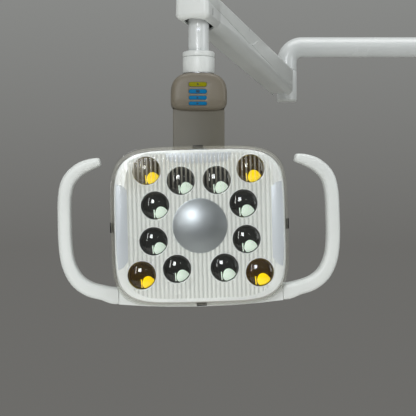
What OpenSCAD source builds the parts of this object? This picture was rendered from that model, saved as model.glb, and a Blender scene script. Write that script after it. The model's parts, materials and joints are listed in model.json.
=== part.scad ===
// Dental operating light: head on a yoke, spring-balanced flexarm, rigid arm and base post.
// Millimetres, +Z up, the lamp faces -Y. Origin: centre of the base flange's mounting face.

/* [Base post] */
// Diameter of the mounting flange
flange_d = 104; // [98:1:120]
// Thickness of the mounting flange
flange_t = 8; // [6:0.5:10]
// Pitch circle diameter of the flange bolts
bolt_pcd = 80; // [76:1:84]
// Diameter of each flange bolt hole
bolt_hole_d = 6.6; // [5.5:0.1:8]
// Diameter of the cable hole in the flange
cable_hole_d = 24; // [12:1:30]
// Outside diameter of the base post
base_post_d = 48; // [44:1:56]
// Height of the base post's top above the mounting face
base_post_h = 158; // [150:1:165]

/* [Rigid arm] */
// Outside diameter of the rigid arm tube
tube_d = 38; // [38:0.5:40]
// Height of the tube's axis above the mounting face
tube_h = 250; // [245:1:270]
// Distance between the post axis and the elbow axis
rigid_len = 560; // [400:10:700]
// Radius of each bend, on the tube's centre line
bend_r = 28; // [24:1:32]

/* [Flexarm] */
// Height of the seam between the rigid arm and the elbow hub
hub_top = 205; // [200:1:210]
// Height of the elbow hub's lower end
hub_bottom = 151; // [146:1:154]
// Distance from the elbow axis to the lift pivot
pivot_u = 64; // [60:1:70]
// Height of the lift pivot
pivot_z = 181.5; // [178:0.5:184]
// Distance between the two pivots of the flexarm
flex_len = 558; // [450:1:620]
// Plan direction of the flexarm at rest, from +X
flex_yaw = -105; // [-130:1:-80]
// Slope of the flexarm at rest
flex_pitch = 1.3; // [0:0.1:3]
// Width of the flexarm covers
flex_w = 44; // [44:0.5:48]
// Depth of the flexarm covers above the pivot line
flex_up = 21; // [21:0.5:23]
// Depth of the flexarm covers below the pivot line, at the rear
flex_down_rear = 31; // [28:0.5:33]
// Depth of the flexarm covers below the pivot line, at the nose cap
flex_down_front = 19; // [19:0.5:22]
// Wall of the flexarm covers
flex_wall = 3; // [2.5:0.1:3]

/* [Post and control pad] */
// Outside diameter of the lamp post
post_d = 26; // [26:0.1:26.4]
// Outside diameter of the swivel collar
collar_d = 40; // [40:0.5:42]
// Height of the collar's top
collar_top = 141; // [139:1:145]
// Height of the swivel seam in the collar
collar_seam = 134; // [132:0.5:136]
// Width of the control pad housing
pad_w = 70; // [68:1:74]
// Height of the control pad housing's top
pad_top = 114; // [113:0.5:115]
// Height of the control pad housing's bottom
pad_bottom = 67; // [64:1:68]
// Length of each key
key_w = 22; // [18:0.5:26]
// Height of the second key's face, from which the others differ a little
key_h = 5; // [4.6:0.1:5.4]
// Sideways place of the keys on the pad
key_x = -1.6; // [-3:0.1:3]
// How far a key stands out of the pad
key_proud = 0.6; // [0.6:0.1:1]
// Width of the yoke
yoke_w = 64; // [62:0.5:65]
// Turn of the yoke and head about the post at rest
yoke_yaw = 2; // [0:0.5:6]
// Depth of the yoke, front to back
yoke_t = 22; // [22:0.5:24]

/* [Lamp head] */
// Height of the tilt axis
tilt_z = -75; // [-80:1:-72]
// Distance from the tilt axis forward to the head's rim plane
head_gap = 51; // [51:0.5:56]
// Roll of the head at rest, right side up as seen from the front
head_roll = 1.4; // [-5:0.1:5]
// Width of the clear shield
shield_w = 214; // [210:1:216]
// Height of the clear shield
shield_h = 192; // [188:1:196]
// Depth of the clear shield in front of the rim plane
shield_depth = 22; // [21:0.5:26]
// Depth of the back shell behind the rim plane
shell_depth = 33; // [32:0.5:34]
// Radius of each lens opening in the bezel
lens_r = 17; // [15:0.5:17]
// Radius of the centre badge
badge_r = 32.6; // [28:0.2:33]

/* [Hidden] */
$fn = 64;

gap = 0.3;
run_fit = 0.05;
cut = 1;
white = [0.86, 0.88, 0.86];
warm_grey = [0.45, 0.43, 0.39];
steel = [0.6, 0.62, 0.64];
black = [0.08, 0.08, 0.08];

tube_r = tube_d / 2;
tube_bore = tube_r - 4;
base_bore = base_post_d / 2 - 6;
swing_r = 14;
elbow_r = 13;
hub_bore = elbow_r + 3.5;
washer_t = 2.5;
tube_foot = base_post_h + washer_t + 0.4;

pin_r = 4;
eye_r = 12;
eye_half = 12.5;
link_up = 12;
link_half = 3;
link_tall = 5;
link_pin_r = 2.5;
nose_reach = 32;
nose_down = 17;
cover_end = -4;
nose_back = 30;
plate_in = 14;
plate_t = 4;
seam_front = 6;
seam_rear = -15;
seam_gap = 0.5;

post_r = post_d / 2;
post_bore = post_r + 3.5;
post_foot = pad_top - 7.2;
clip_z = pad_top - 6.8;
frame_plate_t = 4;
frame_top = pad_top - 9;
knuckle_u = pivot_u + flex_len * cos(flex_pitch);
knuckle_z = pivot_z + flex_len * sin(flex_pitch);
post_x = -rigid_len + knuckle_u * cos(flex_yaw);
post_y = knuckle_u * sin(flex_yaw);
pad_front_y = -24;
pad_back_y = 20;
pad_wall = 3;
key_z = [pad_top - 16, pad_top - 24.7, pad_top - 32.4, pad_top - 39.4];
key_tall = [key_h + 0.2, key_h, key_h - 0.6, key_h - 1];
fork_half = 19;
cheek_out = 27;
fork_top = 26;
hub_end_r = 16;
tilt_pin_r = 5;

outline_power = 4.9;
outline_steps = 72;
roll_r = 8;
// Lens centres: half of a left-right symmetric pattern, [x, y], corners first
corner_lenses = [[61.9, 66.6], [70.2, -57.2]];
main_lenses = [[21.4, 53.9], [52.6, 25.3], [55.3, -17.2], [28.3, -50.6]];

// ---- shapes ----

module tube(r_out, r_in, h) {
    difference() {
        cylinder(h = h, r = r_out);
        translate([0, 0, -cut]) cylinder(h = h + 2 * cut, r = r_in);
    }
}

// Cylinder along Y, centred
module pin_y(r, half) {
    rotate([90, 0, 0]) cylinder(h = 2 * half, r = r, center = true);
}

// Cylinder along X, centred
module pin_x(r, half) {
    rotate([0, 90, 0]) cylinder(h = 2 * half, r = r, center = true);
}

// Box section with true arcs: its own radius at the top and at the bottom corners
module soft_box(w, top, bottom, r_top, r_bottom) {
    translate([-w / 2, bottom + r_bottom]) square([w, top - r_top - bottom - r_bottom]);
    translate([-w / 2 + r_top, top - r_top - cut]) square([w - 2 * r_top, r_top + cut]);
    translate([-w / 2 + r_bottom, bottom]) square([w - 2 * r_bottom, r_bottom + cut]);
    for (side = [-1, 1]) {
        translate([side * (w / 2 - r_top), top - r_top]) circle(r = r_top);
        translate([side * (w / 2 - r_bottom), bottom + r_bottom]) circle(r = r_bottom);
    }
}

// Bowed, round-cornered outline of the head, by the superellipse formula
function outline(a, b) = [for (i = [0 : outline_steps - 1]) let (t = 360 * i / outline_steps)
    [a * sign(cos(t)) * pow(abs(cos(t)), 2 / outline_power),
     b * sign(sin(t)) * pow(abs(sin(t)), 2 / outline_power)]];

module outline_slab(inset, z, t = 0.1) {
    translate([0, 0, z])
        linear_extrude(t) polygon(outline(shield_w / 2 - inset, shield_h / 2 - inset));
}

// ---- frames of the moving bodies ----

module at_elbow() {
    translate([-rigid_len, 0, 0]) rotate([0, 0, flex_yaw]) children();
}

// Level, on the lift pivot, +X towards the lamp
module on_bracket() {
    at_elbow() translate([pivot_u, 0, pivot_z]) children();
}

module on_arm() {
    on_bracket() rotate([0, -flex_pitch, 0]) children();
}

module on_knuckle() {
    at_elbow() translate([knuckle_u, 0, knuckle_z]) children();
}

module on_post() {
    translate([post_x, post_y, 0]) children();
}

module on_yoke() {
    on_post() rotate([0, 0, yoke_yaw]) children();
}

module on_tilt() {
    on_yoke() translate([0, 0, tilt_z]) children();
}

// Head frame: X right, Y up, Z towards the viewer, origin in the rim plane
module on_head() {
    on_tilt() translate([0, -head_gap, 0]) rotate([0, -head_roll, 0]) rotate([90, 0, 0]) children();
}

// ---- base post ----

module base_flange() color(white) {
    difference() {
        cylinder(h = flange_t, r = flange_d / 2);
        translate([0, 0, -cut]) cylinder(h = flange_t + 2 * cut, r = cable_hole_d / 2);
        for (k = [0 : 3]) {
            rotate([0, 0, 45 + 90 * k]) translate([bolt_pcd / 2, 0, -cut])
                cylinder(h = flange_t + 2 * cut, r = bolt_hole_d / 2);
        }
    }
}

screw_z = base_post_h - 18;
screw_r = 3;

module base_post() color(white) {
    difference() {
        translate([0, 0, flange_t]) tube(base_post_d / 2, base_bore, base_post_h - flange_t);
        translate([0, base_post_d / 4, screw_z]) pin_y(screw_r + run_fit, base_post_d / 4 + cut);
    }
}

module base_bushes() color("ivory") {
    translate([0, 0, base_post_h - 32]) tube(base_bore, swing_r + run_fit, 32);
    translate([0, 0, 66]) tube(base_bore, swing_r + run_fit, 24);
}

module thrust_washer() color(steel) {
    translate([0, 0, base_post_h]) tube(base_post_d / 2 - 1, swing_r + 0.5, washer_t);
}

module brake_screw() color(black) {
    knob_y = base_post_d / 2 + 6;
    translate([0, (base_bore + knob_y) / 2, screw_z]) pin_y(screw_r, (knob_y - base_bore) / 2);
    translate([0, knob_y + 5, screw_z]) pin_y(9, 5);
}

// ---- rigid arm ----

module tube_path(r) {
    translate([0, 0, tube_foot]) cylinder(h = tube_h - bend_r - tube_foot, r = r);
    translate([-bend_r, 0, tube_h - bend_r])
        rotate([90, 0, 0]) rotate_extrude(angle = 90) translate([bend_r, 0]) circle(r = r);
    translate([-rigid_len + bend_r, 0, tube_h])
        rotate([0, 90, 0]) cylinder(h = rigid_len - 2 * bend_r, r = r);
    translate([-rigid_len + bend_r, 0, tube_h - bend_r])
        rotate([90, 0, 0]) rotate([0, 0, 90])
            rotate_extrude(angle = 90) translate([bend_r, 0]) circle(r = r);
    translate([-rigid_len, 0, hub_top + 0.4]) cylinder(h = tube_h - bend_r - hub_top - 0.4, r = r);
}

module rigid_tube() color(white) {
    difference() {
        tube_path(tube_r);
        tube_path(tube_bore);
        translate([0, 0, tube_foot - cut]) cylinder(h = 2 * cut, r = tube_bore);
        translate([-rigid_len, 0, hub_top - cut]) cylinder(h = 2 * cut, r = tube_bore);
    }
}

module swing_spigot() color(steel) {
    difference() {
        union() {
            translate([0, 0, 58]) cylinder(h = tube_foot - 58, r = swing_r);
            translate([0, 0, tube_foot]) cylinder(h = 50, r = tube_bore);
        }
        translate([0, 0, 58 - cut]) cylinder(h = 200, r = 8);
    }
}

module elbow_spigot() color(steel) {
    translate([-rigid_len, 0, 0]) difference() {
        union() {
            translate([0, 0, hub_bottom + 3]) cylinder(h = hub_top + 0.4 - hub_bottom - 3, r = elbow_r);
            translate([0, 0, hub_top + 0.4]) cylinder(h = 16, r = tube_bore);
        }
        translate([0, 0, hub_bottom]) cylinder(h = 100, r = 8);
    }
}

module spigot_clips() color(steel) {
    translate([0, 0, 61]) tube(swing_r + 2.5, swing_r, 2.5);
    translate([-rigid_len, 0, hub_bottom + 5]) tube(elbow_r + 2.5, elbow_r, 2);
}

// ---- elbow hub and bracket ----

// Clears the swing of the parallel link round the pivot; ahead is +1 on the bracket, -1 on the knuckle
module link_slot(ahead) {
    difference() {
        translate([ahead > 0 ? -6.5 : -60, -link_half - 0.5, -9]) cube([66.5, 2 * link_half + 1, 60]);
        pin_y(7, 30);
    }
}

module pivot_eye() {
    pin_y(eye_r, eye_half);
    translate([0, 0, link_up]) pin_y(5, eye_half);
    translate([-5, -eye_half, 0]) cube([10, 2 * eye_half, link_up]);
}

module elbow_bracket() color(white) {
    bar_h = 24;
    difference() {
        union() {
            at_elbow() translate([0, 0, hub_bottom]) cylinder(h = hub_top - hub_bottom, r = tube_r);
            difference() {
                on_bracket() union() {
                    pivot_eye();
                    translate([-pivot_u, -eye_half, -bar_h / 2]) cube([pivot_u, 2 * eye_half, bar_h]);
                }
                on_bracket() link_slot(1);
            }
        }
        at_elbow() translate([0, 0, hub_bottom - cut]) cylinder(h = 100, r = hub_bore);
        on_bracket() pin_y(pin_r + run_fit, 40);
        on_bracket() translate([0, 0, link_up]) pin_y(link_pin_r, 40);
    }
}

module elbow_bushes() color("ivory") {
    at_elbow() translate([0, 0, hub_top - 20]) tube(hub_bore, elbow_r + run_fit, 20);
    at_elbow() translate([0, 0, hub_bottom + 9]) tube(hub_bore, elbow_r + run_fit, 16);
}

// Round-edged disc under the hub, with a plug into its bore
module hub_cap() color(white) {
    edge = 4;
    at_elbow() translate([0, 0, hub_bottom]) rotate([180, 0, 0]) rotate_extrude() {
        difference() {
            union() {
                square([tube_r - edge, edge]);
                translate([tube_r - edge, 0]) circle(r = edge);
            }
            translate([0, -10]) square([tube_r + 1, 10]);
        }
        translate([0, -2]) square([hub_bore, 3]);
    }
}

module rear_link_pin() color(steel) {
    on_bracket() translate([0, 0, link_up]) pin_y(link_pin_r, eye_half);
}

// ---- flexarm ----

cover_front = flex_len - nose_back;

// Cover's section at a station: its underside rises evenly towards the front
module arm_station(x, inset) {
    low = -flex_down_rear + (flex_down_rear - flex_down_front) * x / cover_front;
    translate([x, 0, 0]) rotate([90, 0, 90]) linear_extrude(0.02)
        soft_box(flex_w - 2 * inset, flex_up - inset, low + inset, 7 - inset, 15 - inset);
}

// Solid of the cover's outside (inset 0) or inside (inset flex_wall), between two stations
module arm_solid(from, to, inset) {
    hull() {
        arm_station(from, inset);
        arm_station(to - 0.02, inset);
    }
}

// Side of the arm above the sloping seam; raise moves the seam line up
module above_seam(raise) {
    rotate([90, 0, 0]) linear_extrude(100, center = true)
        polygon([[cover_end - 9, seam_rear + raise], [60, seam_rear + raise],
                 [flex_len + 60, seam_front + raise], [flex_len + 60, 60], [cover_end - 9, 60]]);
}

// The same above the seam, where the section doesn't change along the arm
module arm_prism(from, to, inset) {
    translate([from, 0, 0]) rotate([90, 0, 90]) linear_extrude(to - from)
        soft_box(flex_w - 2 * inset, flex_up - inset, -flex_down_rear + inset, 7 - inset, 15 - inset);
}

// Shallow flat on each side: its lower edge rises to the seam and its rear end is an S-curve
module side_reliefs() {
    depth = 1.2;
    rise = 17.5;
    foot = -4.5;
    s_start = 352;
    s_step = 7;
    s_curve = [for (k = [0 : 10]) [s_start - s_step * k, foot + rise * (1 - cos(18 * k)) / 2]];
    for (side = [-1, 1]) {
        translate([0, side * (flex_w / 2 - depth + 10), 0]) rotate([90, 0, 0])
            linear_extrude(20, center = true)
                polygon(concat([[flex_len + 60, -11.5], [s_start + 4, foot - 2]], s_curve,
                               [[150, flex_up], [150, 40], [flex_len + 60, 40]]));
    }
}

// Cover screws on each side: [distance along the arm, height, half width of the cover there]
screw_spots = [[3, -1.5, 21.9], [10, -6, 21.9]];

module screw_holes() {
    for (s = screw_spots) {
        translate([s[0], 0, s[1]]) pin_y(1.6, 40);
    }
}

// Opening in the underside that the post leans through
module post_window() {
    half = post_r + 1.2;
    translate([flex_len - 33 + half, 0, -60]) cylinder(h = 60, r = half);
    translate([flex_len - 33 + half, -half, -60]) cube([61 - 2 * half, 2 * half, 60]);
    translate([flex_len + 28 - half, 0, -60]) cylinder(h = 60, r = half);
}

module upper_cover() color(white) {
    on_arm() intersection() {
        difference() {
            arm_prism(cover_end, cover_front, 0);
            arm_prism(cover_end - cut, cover_front + cut, flex_wall);
            side_reliefs();
            screw_holes();
        }
        above_seam(seam_gap / 2);
    }
}

module lower_cover() color(white) {
    on_arm() difference() {
        arm_solid(cover_end, cover_front, 0);
        arm_solid(cover_end - cut, cover_front + cut, flex_wall);
        side_reliefs();
        post_window();
        above_seam(-seam_gap / 2);
        translate([cover_end - cut, -eye_half - 1, -40]) cube([34, 2 * eye_half + 2, 40]);
    }
}

module nose_shape(inset) {
    corner = 7;
    hull() {
        for (side = [-1, 1], z = [flex_up - corner, -nose_down + corner]) {
            translate([flex_len + nose_reach - corner, side * (flex_w / 2 - corner), z])
                sphere(r = corner - inset, $fn = 32);
        }
        arm_solid(inset > 0 ? cover_front - cut : cover_front, cover_front + 1, inset);
    }
}

// Thin groove that carries the covers' seam on along the nose
module nose_groove() {
    slope = (seam_front - seam_rear) / flex_len;
    start = seam_rear + slope * (cover_front - 60);
    for (side = [-1, 1]) {
        translate([0, side * (flex_w / 2 + 8.2), 0]) rotate([90, 0, 0]) linear_extrude(20, center = true)
            polygon([[cover_front - 1, start - 0.25], [flex_len + 60, start + slope * 90 - 0.25],
                     [flex_len + 60, start + slope * 90 + 0.25], [cover_front - 1, start + 0.25]]);
    }
}

module nose_cap() color(white) {
    on_arm() difference() {
        nose_shape(0);
        nose_shape(flex_wall);
        side_reliefs();
        nose_groove();
        post_window();
        translate([flex_len + 8, 0, -5]) cube([3.4, 60, 9], center = true);
    }
}

module arm_beam() color(steel) {
    low = -7.5;
    high = 13;
    on_arm() difference() {
        union() {
            for (side = [-1, 1]) {
                translate([0, side * (plate_in + plate_t / 2) - plate_t / 2, low])
                    cube([flex_len, plate_t, high - low]);
                for (x = [0, flex_len]) {
                    translate([x, side * (plate_in + plate_t / 2), 0]) pin_y(-low, plate_t / 2);
                }
            }
            for (x = [60, 190, 320, 450]) {
                translate([x, 0, -2]) pin_y(3, plate_in + 1);
            }
        }
        pin_y(pin_r, 40);
        translate([flex_len, 0, 0]) pin_y(pin_r, 40);
    }
}

// Coil of round wire: rings of points swept along a helix
function coil_ring(a, r_coil, r_wire, pitch, sides) = [for (k = [0 : sides - 1])
    let (q = 360 * k / sides, r = r_coil + r_wire * cos(q))
    [pitch * a / 360 + r_wire * sin(q), r * cos(a), r * sin(a)]];

module coil(turns, r_coil, r_wire, pitch) {
    sides = 6;
    per_turn = 12;
    n = turns * per_turn;
    points = [for (i = [0 : n]) each coil_ring(i * 360 / per_turn, r_coil, r_wire, pitch, sides)];
    walls = [for (i = [0 : n - 1], k = [0 : sides - 1])
        let (a = i * sides + k, b = i * sides + (k + 1) % sides)
        each [[a, a + sides, b + sides], [a, b + sides, b]]];
    ends = [[for (k = [0 : sides - 1]) k], [for (k = [sides - 1 : -1 : 0]) n * sides + k]];
    polyhedron(points, concat(walls, ends), convexity = 10);
}

spring_z = -8.6;

module balance_spring() color(steel) {
    on_arm() translate([70, 0, spring_z]) coil(15, 5.2, 1.1, 7.2);
}

module spring_rod() color(steel) {
    on_arm() translate([46, 0, spring_z]) {
        rotate([0, 90, 0]) cylinder(h = 170, r = 2.6);
        translate([20, 0, 0]) rotate([0, 90, 0]) cylinder(h = 2.5, r = 6);
        translate([134, 0, 0]) rotate([0, 90, 0]) cylinder(h = 3, r = 6);
    }
}

module rear_pivot_pin() color(steel) {
    on_arm() pin_y(pin_r, plate_in + plate_t);
}

module front_pivot_pin() color(steel) {
    on_arm() translate([flex_len, 0, 0]) pin_y(pin_r, plate_in + plate_t);
}

// Screws that hold the covers to the beam, flush in the cover sides
module cover_screws() color(steel) {
    seat = plate_in + plate_t;
    on_arm() for (side = [-1, 1], s = screw_spots) {
        translate([s[0], side * (seat + s[2]) / 2, s[1]]) pin_y(1.5, (s[2] - seat) / 2);
    }
}

module parallel_link() color(steel) {
    on_bracket() translate([0, 0, link_up]) rotate([0, -flex_pitch, 0]) difference() {
        union() {
            for (x = [0, flex_len]) {
                translate([x, 0, 0]) pin_y(4.6, link_half);
            }
            translate([0, -link_half, -link_tall / 2]) cube([flex_len, 2 * link_half, link_tall]);
        }
        pin_y(link_pin_r + run_fit, 20);
        translate([flex_len, 0, 0]) pin_y(link_pin_r + run_fit, 20);
    }
}

// ---- knuckle, post and collar ----

module front_knuckle() color(steel) {
    plug_r = post_r - 3;
    on_knuckle() {
        difference() {
            union() {
                pivot_eye();
                translate([0, 0, -60]) cylinder(h = 56, r = plug_r);
            }
            link_slot(-1);
            pin_y(pin_r + run_fit, 40);
            translate([0, 0, -26]) rotate([0, 0, -flex_yaw]) pin_y(2, 40);
        }
        translate([0, 0, link_up]) pin_y(link_pin_r, eye_half);
    }
}

module lamp_post() color(white) {
    top = knuckle_z - eye_r - 0.5;
    on_post() difference() {
        translate([0, 0, post_foot]) tube(post_r, post_r - 3, top - post_foot);
        translate([0, 0, knuckle_z - 26]) pin_y(2, 40);
    }
}

module post_pin() color(steel) {
    on_post() translate([0, 0, knuckle_z - 26]) pin_y(2, post_r - 0.4);
}

module upper_collar() color(white) {
    on_post() {
        translate([0, 0, collar_seam + 0.4]) tube(collar_d / 2, post_r, collar_top - collar_seam - 0.4);
        translate([0, 0, clip_z]) tube(post_r + 2.6, post_r, 2.2);
    }
}

module lower_collar() color(white) {
    on_yoke() difference() {
        translate([0, 0, pad_top]) cylinder(h = collar_seam - pad_top, r = collar_d / 2);
        translate([0, 0, pad_top - cut]) cylinder(h = 60, r = post_bore);
    }
}

module swivel_bush() color("ivory") {
    on_yoke() translate([0, 0, pad_top - frame_plate_t])
        tube(post_bore, post_r + run_fit, collar_seam - pad_top + frame_plate_t);
}

// ---- control pad ----

module pad_outline(inset) {
    soft_box(pad_w - 2 * inset, pad_top - inset, pad_bottom + inset, 14 - inset, 13 - inset);
}

module pad_block(inset, from_y, to_y) {
    on_yoke() translate([0, to_y, 0]) rotate([90, 0, 0]) linear_extrude(to_y - from_y)
        pad_outline(inset);
}

module pad_openings() {
    on_yoke() translate([0, 0, pad_top - 10]) cylinder(h = 20, r = collar_d / 2 - 0.6);
    on_yoke() translate([-yoke_w / 2 - 0.1, -yoke_t / 2 - 0.1, 0])
        cube([yoke_w + 0.2, yoke_t + 0.2, pad_bottom + 10]);
}

module key_outline(tall, grow) {
    r = tall / 2 + grow;
    for (side = [-1, 1]) {
        translate([side * (key_w - tall) / 2, 0]) circle(r = r);
    }
    square([key_w - tall, 2 * r], center = true);
}

module pad_front() color(warm_grey) {
    difference() {
        pad_block(0, pad_front_y, 0);
        pad_block(pad_wall, pad_front_y + pad_wall, 1);
        pad_openings();
        for (i = [0 : 3]) {
            on_yoke() translate([key_x, 0, key_z[i]]) rotate([90, 0, 0]) linear_extrude(60)
                key_outline(key_tall[i], gap);
        }
    }
}

module pad_rear() color(warm_grey) {
    difference() {
        pad_block(0, 0, pad_back_y);
        pad_block(pad_wall, -1, pad_back_y - pad_wall);
        pad_openings();
    }
}

board_y = -16.5;

module key_board() color("darkgreen") {
    on_yoke() translate([-24, board_y, pad_bottom + 4]) cube([48, 1.6, 32]);
}

// Silicone mat with a dome behind each key
module key_mat() color("dimgray") {
    on_yoke() translate([-23, board_y - 0.9, pad_bottom + 4.5]) cube([46, 0.9, 30.5]);
    on_yoke() for (z = key_z, side = [-1, 1]) {
        translate([key_x + side * 6, board_y - 1.2, z]) pin_y(1.8, 1.1);
    }
}

key_colour = [[0.62, 0.62, 0.02], [0.05, 0.4, 0.66], [0.05, 0.4, 0.66], [0.05, 0.4, 0.66]];

// Key with a flange behind the housing's wall that keeps it in
module pad_key(i) {
    depth = key_proud + 4;
    color(key_colour[i]) on_yoke()
        translate([key_x, pad_front_y - key_proud + depth, key_z[i]]) rotate([90, 0, 0]) {
            linear_extrude(depth) key_outline(key_tall[i], 0);
            linear_extrude(0.7) key_outline(key_tall[i], 0.8);
        }
}

module key_mode() pad_key(0);
module key_high() pad_key(1);
module key_medium() pad_key(2);
module key_low() pad_key(3);

// ---- yoke ----

// Ring under the collar, two struts round the post's foot, a plate down the yoke and the fork
module yoke_frame() color(steel) {
    fork_z = tilt_z + fork_top;
    cheek_t = cheek_out - fork_half;
    on_yoke() difference() {
        union() {
            translate([0, 0, pad_top - frame_plate_t]) cylinder(h = frame_plate_t, r = collar_d / 2 - 1);
            for (side = [-1, 1]) {
                translate([side * 17.9 - 1.2, -3, frame_top - 6]) cube([2.4, 6, pad_top - frame_top + 4]);
            }
            translate([-22, -3, fork_z + 4]) cube([44, 6, frame_top - fork_z - 4]);
            translate([-cheek_out, -6, fork_z]) cube([2 * cheek_out, 12, 8]);
            for (side = [-1, 1]) {
                translate([side * (fork_half + cheek_out) / 2, 0, tilt_z]) {
                    pin_x(13, cheek_t / 2);
                    translate([-cheek_t / 2, -6, 0]) cube([cheek_t, 12, fork_top + 4]);
                }
            }
        }
        translate([0, 0, frame_top]) cylinder(h = 30, r = post_bore);
        translate([0, 0, tilt_z]) pin_x(tilt_pin_r, 60);
    }
}

module yoke_profile(inset) {
    translate([-yoke_t / 2 + inset, tilt_z]) square([yoke_t - 2 * inset, pad_bottom + 2 - tilt_z]);
    translate([0, tilt_z]) circle(r = hub_end_r - inset);
}

module yoke_shell(from_y, to_y) {
    on_yoke() difference() {
        intersection() {
            translate([-yoke_w / 2, 0, 0]) rotate([90, 0, 90]) linear_extrude(yoke_w) yoke_profile(0);
            translate([-50, from_y, -150]) cube([100, to_y - from_y, 300]);
        }
        translate([-yoke_w / 2 + 2.5, 0, 0])
            rotate([90, 0, 90]) linear_extrude(yoke_w - 5) yoke_profile(2);
        translate([-yoke_w / 2 + 2.5, -yoke_t / 2 + 2.5, 60])
            cube([yoke_w - 5, yoke_t - 5, 10]);
        translate([-fork_half - 0.3, -30, tilt_z - 30])
            cube([2 * fork_half + 0.6, 60, 30 + fork_top - 1]);
        translate([0, 0, tilt_z]) pin_x(11.2, 60);
    }
}

module yoke_cover_front() color(warm_grey) yoke_shell(-30, 0);
module yoke_cover_rear() color(warm_grey) yoke_shell(0.2, 30);

module tilt_pin() color(steel) {
    on_tilt() pin_x(tilt_pin_r, cheek_out);
}

module tilt_caps() color(white) {
    cap_out = yoke_w / 2 + 1;
    on_tilt() for (side = [-1, 1]) {
        translate([side * (cheek_out + cap_out) / 2, 0, 0]) pin_x(11, (cap_out - cheek_out) / 2);
    }
}

module tilt_washers() color("ivory") {
    on_tilt() for (side = [-1, 1]) {
        translate([side * (fork_half - 0.35), 0, 0]) difference() {
            pin_x(11, 0.35);
            pin_x(tilt_pin_r + 0.1, 2);
        }
    }
}

module tilt_knuckle() color(steel) {
    boss_end = head_gap - shell_depth + 1.5;
    on_tilt() difference() {
        union() {
            pin_x(15, fork_half - 1);
            translate([0, -boss_end / 2, 0]) pin_y(12, boss_end / 2);
        }
        pin_x(tilt_pin_r + run_fit, 40);
        translate([0, -boss_end, 0]) pin_y(roll_r, 8);
    }
}

module roll_shaft() color(steel) {
    back = head_gap - shell_depth - 6.5;
    on_tilt() {
        translate([0, -(back + head_gap - 6) / 2, 0]) pin_y(roll_r, (head_gap - 6 - back) / 2);
        translate([0, -head_gap + 6, 0]) pin_y(12, 1.5);
    }
}

// ---- lamp head ----

// Stack of outlines blended into one body: [inset, height] for each
module outline_body(stations) {
    hull() {
        for (s = stations) {
            outline_slab(s[0], s[1]);
        }
    }
}

shell_outer = [[2, -1.3], [4, -10], [14, -22], [32, -shell_depth + 2], [42, -shell_depth]];
shell_inner = [[4.8, 2], [7, -10], [17, -20], [35, -shell_depth + 3.6]];

module back_shell() color(white) {
    on_head() difference() {
        outline_body(shell_outer);
        outline_body(shell_inner);
        translate([0, 0, -shell_depth - cut]) cylinder(h = 10, r = 13);
        for (side = [-1, 1], k = [0 : 4]) {
            translate([side * 48 - 12, 10 + 8 * k - 26, -shell_depth - cut]) cube([24, 3, 10]);
        }
    }
}

module head_frame() color(steel) {
    on_head() difference() {
        union() {
            translate([0, 0, -11]) linear_extrude(3) polygon(outline(95, 85));
            translate([0, 0, -shell_depth + 3.8]) cylinder(h = shell_depth - 13, r = 17);
        }
        translate([0, 0, -40]) cylinder(h = 60, r = roll_r + run_fit);
    }
}

module heat_sink() color("silver") {
    on_head() difference() {
        union() {
            translate([0, 0, -13.2]) linear_extrude(2.1) polygon(outline(78, 68));
            for (side = [-1, 1], k = [0 : 5]) {
                x = 24 + 8 * k;
                tall = 100 - 6 * k;
                translate([side * x - 1, -tall / 2, -25]) cube([2, tall, 12]);
            }
        }
        translate([0, 0, -40]) cylinder(h = 60, r = 17.3);
    }
}

module each_lens(list) {
    for (p = list, side = [-1, 1]) {
        translate([side * p[0], p[1], 0]) children();
    }
}

module led_board() color("white") {
    on_head() difference() {
        translate([0, 0, -7.9]) linear_extrude(1.6) polygon(outline(94, 84));
        translate([0, 0, -20]) cylinder(h = 40, r = 14);
    }
}

module led_emitters() color([0.85, 0.95, 0.8]) {
    on_head() each_lens(concat(corner_lenses, main_lenses)) {
        translate([-3.5, -3.5, -6.2]) cube([7, 7, 1.2]);
        translate([0, 0, -5.1]) cylinder(h = 1.4, r = 2.6);
    }
}

// Black cups, one under each lens, joined by a thin plate
module lens_holders() color(black) {
    on_head() difference() {
        union() {
            translate([0, 0, 3]) linear_extrude(2) polygon(outline(94, 84));
            each_lens(concat(corner_lenses, main_lenses)) {
                translate([0, 0, -6.2]) cylinder(h = 14.1, r = lens_r + 1.2);
            }
        }
        each_lens(concat(corner_lenses, main_lenses)) {
            translate([0, 0, -7]) cylinder(h = 1.2, r = lens_r);
            translate([0, 0, -5.9]) cylinder(h = 14, r1 = 8, r2 = lens_r + 0.2);
        }
        translate([0, 0, -20]) cylinder(h = 60, r = 14);
    }
}

lens_seat = 8.4;
lens_rise = 4.6;

module lens() {
    ball = (lens_r * lens_r + lens_rise * lens_rise) / (2 * lens_rise);
    intersection() {
        translate([0, 0, lens_seat]) cylinder(h = 20, r = lens_r - gap);
        translate([0, 0, lens_seat + 1.2 + lens_rise - ball]) sphere(r = ball, $fn = 96);
    }
}

module clear_lenses() color([0.8, 0.9, 0.9, 0.5]) {
    on_head() each_lens(main_lenses) lens();
}

module amber_lenses() color([0.9, 0.6, 0.05, 0.6]) {
    on_head() each_lens(corner_lenses) lens();
}

module bezel() color([0.82, 0.84, 0.84]) {
    on_head() difference() {
        translate([0, 0, 9]) linear_extrude(3) polygon(outline(101, 91));
        each_lens(concat(corner_lenses, main_lenses)) cylinder(h = 60, r = lens_r);
    }
}

module centre_badge() color("silver") {
    badge_rise = 7;
    ball = (badge_r * badge_r + badge_rise * badge_rise) / (2 * badge_rise);
    on_head() intersection() {
        translate([0, 0, 12]) cylinder(h = 20, r = badge_r);
        translate([0, 0, 12.6 + badge_rise - ball]) sphere(r = ball, $fn = 96);
    }
}

module latch_places() {
    translate([0, shield_h / 2, 0]) children();
    translate([0, -shield_h / 2, 0]) rotate([0, 0, 180]) children();
    translate([-shield_w / 2, 0, 0]) rotate([0, 0, 90]) children();
    translate([shield_w / 2, 0, 0]) rotate([0, 0, -90]) children();
}

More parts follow.
